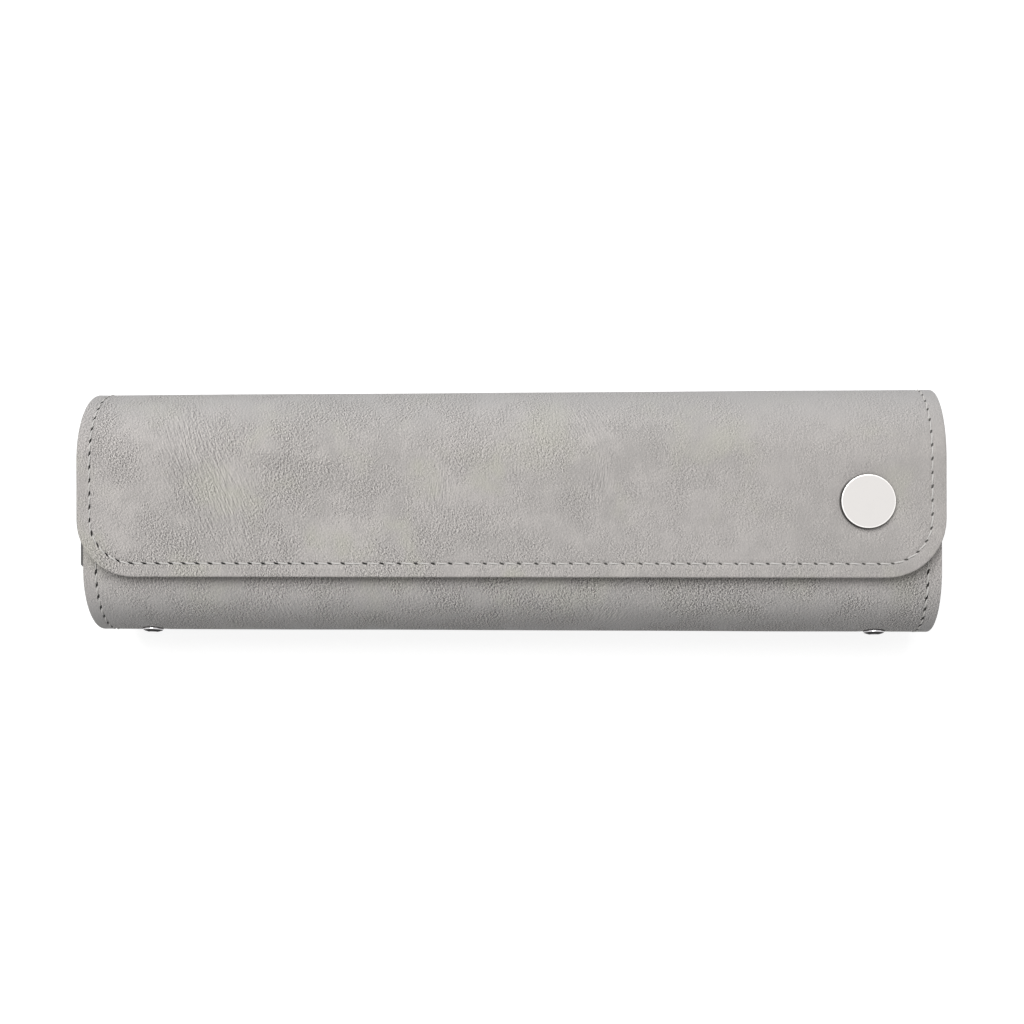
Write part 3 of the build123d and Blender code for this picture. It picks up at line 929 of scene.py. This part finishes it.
class TRAVELCASE_OT_lining(bpy.types.Operator):
    """Make the inner cloth in two halves that meet on the back"""
    bl_idname = "travelcase.lining"
    bl_label = "Lining"

    def execute(self, context):
        sizes = sizes_of(context)
        depth = sizes.leather + sizes.core + 2 * sizes.glue
        material = lining_finish(colours_of(context))
        for half, band in bands(sizes):
            profile = layer_profile(sizes.lining_inset, depth, sizes.lining, LINING_ROUND * MM)
            cloth = shell("lining_" + half, band, profile, LINING_STEP * MM, material)
            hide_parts("base_lining", "flap_lining" if band.upper else "front_lining")
            bend(cloth)
        return {"FINISHED"}


class TRAVELCASE_OT_stitches(bpy.types.Operator):
    """Sew the edges: thread and needle holes along both halves"""
    bl_idname = "travelcase.stitches"
    bl_label = "Stitches"

    def execute(self, context):
        sizes = sizes_of(context)
        thread = thread_finish(colours_of(context))
        threads = stitch_tree("thread_row", False)
        holes = stitch_tree("needle_row", True)
        for seed, (half, band) in enumerate(bands(sizes)):
            sewn = sew("stitches_" + half, band, sizes, threads,
                       {"Length": sizes.stitch_pitch * THREAD_SHARE, "Thickness": sizes.thread,
                        "Rise": THREAD_RISE * MM, "Slant": THREAD_SLANT,
                        "Seed": seed + 3, "Material": thread})
            long, wide, right, snap_end_shade = NEEDLE_HOLES[half]
            pricked = sew("needle_holes_" + half, band, sizes, holes,
                          {"Length": long * MM, "Thickness": wide * MM, "Rise": HOLE_RISE * MM,
                           "Slant": HOLE_SLANT, "Right": right, "Seed": seed + 11,
                           "Material": hole_finish("needle_hole_" + half, snap_end_shade)})
            for piece in (sewn, pricked):
                bend(piece)
        return {"FINISHED"}


class TRAVELCASE_OT_boards(bpy.types.Operator):
    """Finish the stiffening boards"""
    bl_idname = "travelcase.boards"
    bl_label = "Boards"

    def execute(self, context):
        material = moulded_finish("stiff_board", colours_of(context).board, 0.6, 0.5 * MM)
        for node in ("back_board", "front_board", "flap_board"):
            dress(node, material)
        return {"FINISHED"}


class TRAVELCASE_OT_inside(bpy.types.Operator):
    """Finish the moulded tray and the flocked insert"""
    bl_idname = "travelcase.inside"
    bl_label = "Tray and insert"

    def execute(self, context):
        colours = colours_of(context)
        dress("tray", moulded_finish("tray_plastic", colours.tray, 0.5, 0.4 * MM))
        dress("brush_insert", moulded_finish("insert_flock", colours.insert, 0.9, 0.6 * MM, 0.3))
        return {"FINISHED"}


class TRAVELCASE_OT_hardware(bpy.types.Operator):
    """Finish the snap, its magnet and the rivets"""
    bl_idname = "travelcase.hardware"
    bl_label = "Snap and rivets"

    def execute(self, context):
        colours = colours_of(context)
        plate = metal_finish("snap_nickel", shade(colours.snap, 0.72), 0.22, (1.0, 14.0, 1.0), 0.05)
        for node in ("magnet_cover", "keeper", "keeper_washer"):
            dress(node, plate)
        dress("snap_cap", snap_finish(colours))
        dress("snap_magnet", metal_finish("magnet_plate", colours.magnet, 0.3))
        dress("rivet_caps", rivet_finish(colours, sizes_of(context)))
        dress("rivet_backs", metal_finish("rivet_back_nickel", colours.rivet, 0.2))
        return {"FINISHED"}


class TRAVELCASE_OT_stage(bpy.types.Operator):
    """Lay the floor and set the lamps, the world and the camera"""
    bl_idname = "travelcase.stage"
    bl_label = "Stage"

    def execute(self, context):
        scene = context.scene
        scene.view_settings.view_transform = "Standard"
        lay_floor(scene)
        light_world(scene)
        for lamp in LAMPS:
            hang_lamp(scene, *lamp)
        set_camera(scene)
        return {"FINISHED"}


def lay_floor(scene):
    """A pale grey floor that looks white to the camera and in reflections, and keeps the shadow."""
    side, level = FLOOR_HALF, FLOOR_LEVEL
    mesh = bpy.data.meshes.new("floor")
    mesh.from_pydata([(-side, -side, level), (side, -side, level), (side, side, level), (-side, side, level)],
                     [], [(0, 1, 2, 3)])
    floor = bpy.data.objects.new("floor", mesh)
    scene.collection.objects.link(floor)
    paint = Finish("floor_paint", (0.40, 0.40, 0.40), 0.9)
    ray = paint.node("ShaderNodeLightPath").outputs
    seen, glossy, through = (Value(paint, ray["Is %s Ray" % kind])
                             for kind in ("Camera", "Glossy", "Transmission"))
    glow = seen.math("MAXIMUM", glossy.math("MAXIMUM", through))
    paint.set({"Emission Color": paint.mix(glow, (0.0, 0.0, 0.0), (1.0, 1.0, 1.0)),
               "Emission Strength": 0.80})
    mesh.materials.append(paint.material)


def light_world(scene):
    """An even light from all round, white where the camera or a reflection sees it."""
    world = bpy.data.worlds.new("studio")
    world.use_nodes = True
    tree = world.node_tree
    tree.nodes.clear()
    ray = add_node(tree, "ShaderNodeLightPath").outputs
    glow = add_node(tree, "ShaderNodeMath", {"operation": "MAXIMUM"},
                    {0: ray["Is Camera Ray"], 1: ray["Is Glossy Ray"]}).outputs[0]
    share = add_node(tree, "ShaderNodeMapRange", {}, {"Value": glow, "To Min": 0.33, "To Max": 1.0})
    shine = add_node(tree, "ShaderNodeBackground", {},
                     {"Color": (1.0, 1.0, 1.0, 1.0), "Strength": share.outputs[0]})
    add_node(tree, "ShaderNodeOutputWorld", {}, {"Surface": shine.outputs[0]})
    scene.world = world


def hang_lamp(scene, name, place, size, power):
    """A round soft lamp that faces the middle of the floor."""
    lamp = bpy.data.lights.new(name, "AREA")
    lamp.shape = "DISK"
    lamp.size = size
    lamp.energy = power
    hung = bpy.data.objects.new(name, lamp)
    hung.location = place
    hung.rotation_euler = (-Vector(place)).to_track_quat("-Z", "Y").to_euler()
    scene.collection.objects.link(hung)


def set_camera(scene):
    """Above the flap, a little towards the snap end."""
    view = bpy.data.cameras.new("camera")
    view.lens = CAMERA_LENS
    view.sensor_width = CAMERA_SENSOR
    view.clip_start = 0.01
    camera = bpy.data.objects.new("camera", view)
    turned = Matrix.Rotation(CAMERA_YAW, 4, "Y") @ Matrix.Rotation(CAMERA_ROLL, 4, "Z")
    camera.matrix_world = Matrix.Translation(CAMERA_PLACE) @ turned
    scene.collection.objects.link(camera)
    scene.camera = camera


class TRAVELCASE_PT_panel(bpy.types.Panel):
    """Steps that build the case"""
    bl_idname = "TRAVELCASE_PT_panel"
    bl_label = "Travel case"
    bl_space_type = "VIEW_3D"
    bl_region_type = "UI"
    bl_category = "Travel case"

    def draw(self, context):
        for operator in OPERATORS:
            self.layout.operator(operator.bl_idname)
        for group in (sizes_of(context), colours_of(context)):
            for name in group.bl_rna.properties.keys():
                if name not in ("rna_type", "name"):
                    self.layout.prop(group, name)


OPERATORS = (
    TRAVELCASE_OT_leather,
    TRAVELCASE_OT_foam,
    TRAVELCASE_OT_lining,
    TRAVELCASE_OT_stitches,
    TRAVELCASE_OT_boards,
    TRAVELCASE_OT_inside,
    TRAVELCASE_OT_hardware,
    TRAVELCASE_OT_stage,
)
CLASSES = (TravelCaseSizes, TravelCaseColours) + OPERATORS + (TRAVELCASE_PT_panel,)


def register():
    for made in CLASSES:
        bpy.utils.register_class(made)
    bpy.types.Scene.travel_case_sizes = PointerProperty(type=TravelCaseSizes)
    bpy.types.Scene.travel_case_colours = PointerProperty(type=TravelCaseColours)


def unregister():
    del bpy.types.Scene.travel_case_colours
    del bpy.types.Scene.travel_case_sizes
    for made in reversed(CLASSES):
        bpy.utils.unregister_class(made)


def main():
    register()
    bpy.ops.travelcase.leather()
    bpy.ops.travelcase.foam()
    bpy.ops.travelcase.lining()
    bpy.ops.travelcase.stitches()
    bpy.ops.travelcase.boards()
    bpy.ops.travelcase.inside()
    bpy.ops.travelcase.hardware()
    bpy.ops.travelcase.stage()


if __name__ == "__main__":
    main()
